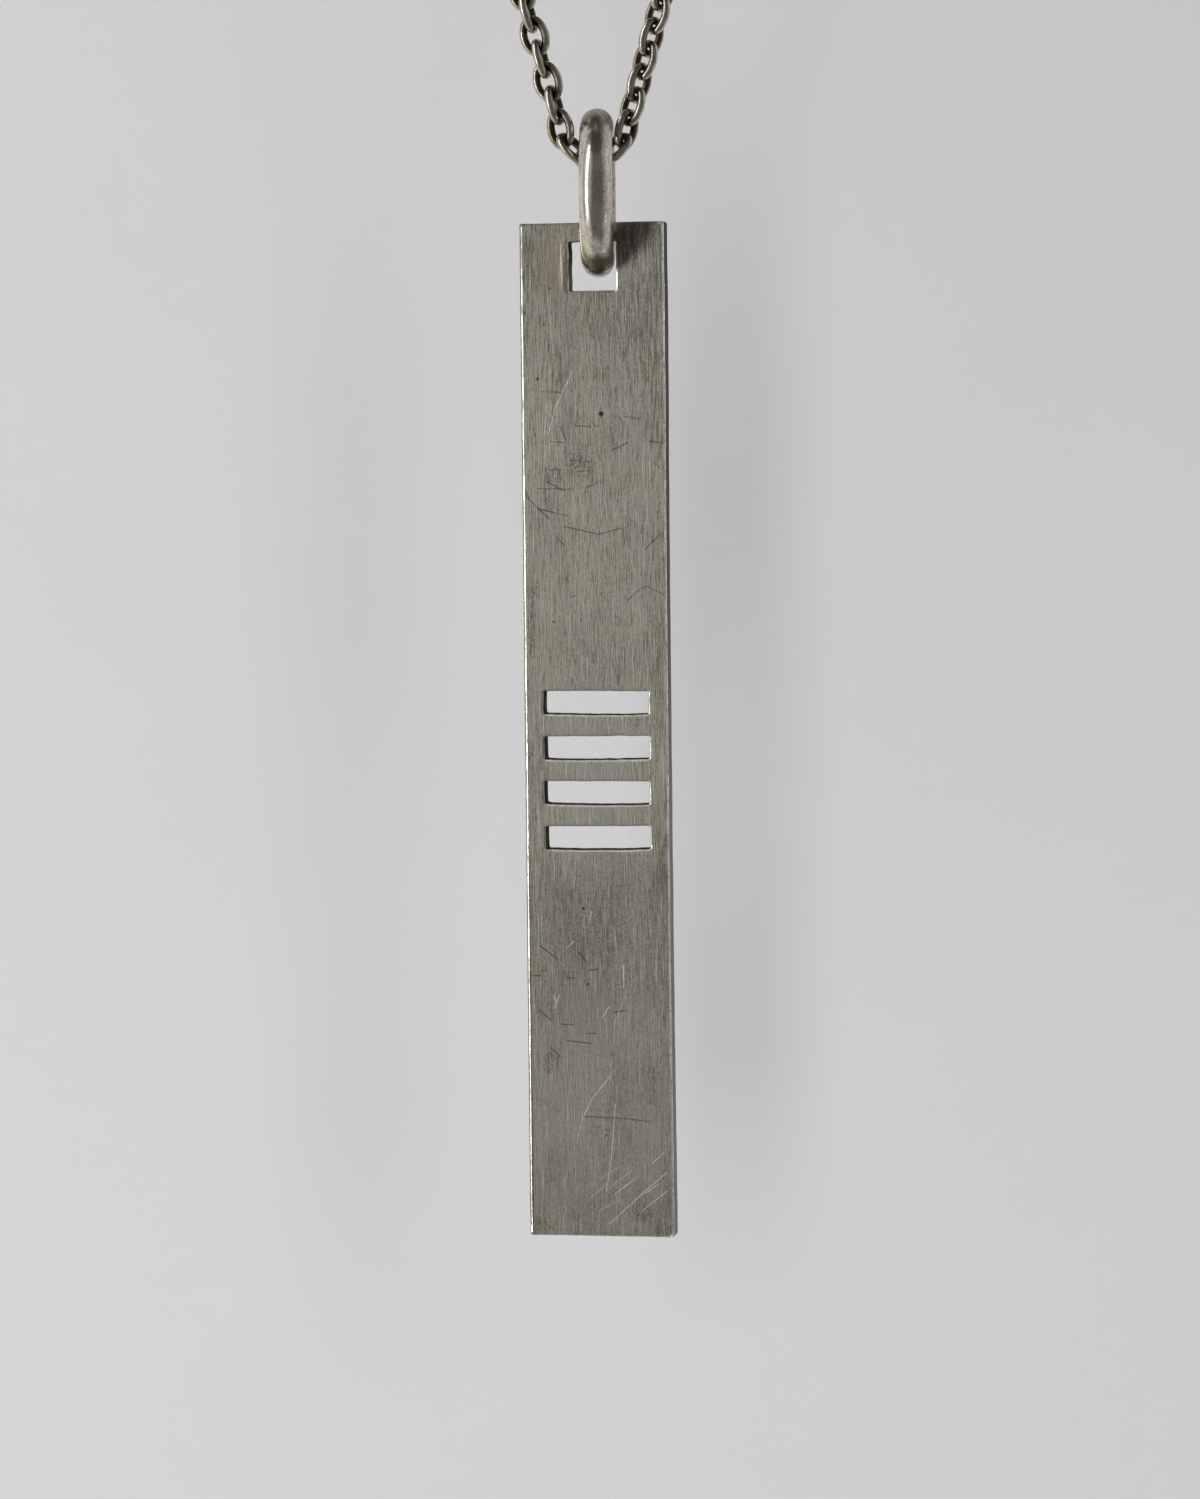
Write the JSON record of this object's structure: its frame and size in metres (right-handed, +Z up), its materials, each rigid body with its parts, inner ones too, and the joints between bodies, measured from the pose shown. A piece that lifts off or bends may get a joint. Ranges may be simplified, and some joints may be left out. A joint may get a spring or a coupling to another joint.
{
  "type": "plate necklace",
  "caption": "Long flat bar pendant with a square hole and sawn slots, hung by a heavy ring on a fine cable chain closed by a round clasp",
  "frame": {"origin": "top of the hanging loop, on the middle of the chain at the clasp, where the necklace hangs", "axes": "+Z up, +X to the right as seen from the front, front of the pendant towards -Y; the loop hangs in the plane of X and Z"},
  "size_m": [0.113, 0.0116, 0.37],
  "materials": {
    "plate_silver": "oxidised silver, brushed along its length, scratched and pitted, worn bright at the edges",
    "ring_silver": "dark oxidised silver, half polished by wear",
    "chain_silver": "oxidised silver, bright where the links rub and dark brown where they meet"
  },
  "bodies": {
    "chain": {"link_left_10": "chain_silver", "link_left_9": "chain_silver", "link_left_8": "chain_silver", "link_left_7": "chain_silver", "link_left_6": "chain_silver", "link_left_5": "chain_silver", "link_left_4": "chain_silver", "link_left_3": "chain_silver", "link_left_2": "chain_silver", "link_left_1": "chain_silver", "link_low": "chain_silver", "link_right_1": "chain_silver", "link_right_2": "chain_silver", "link_right_3": "chain_silver", "link_right_4": "chain_silver", "link_right_5": "chain_silver", "link_right_6": "chain_silver", "link_right_7": "chain_silver", "link_right_8": "chain_silver", "link_right_9": "chain_silver", "link_right_10": "chain_silver", "back_chain_left": "chain_silver", "back_chain_right": "chain_silver", "end_link_left": "chain_silver", "end_link_right": "chain_silver", "jump_ring_left": "chain_silver", "jump_ring_right": "chain_silver", "clasp": "chain_silver"},
    "ring": {"ring": "ring_silver"},
    "plate": {"plate": "plate_silver"}
  },
  "joints": [
    {"name": "ring_swing", "type": "hinge", "parent": "chain", "child": "ring", "pos_m": [0, 0, -0.29171], "axis": [1, 0, 0], "range_deg": [-50, 50]},
    {"name": "plate_swing", "type": "hinge", "parent": "ring", "child": "plate", "pos_m": [0.00019, 0, -0.29874], "axis": [0, 1, 0], "range_deg": [-45, 45]}
  ]
}
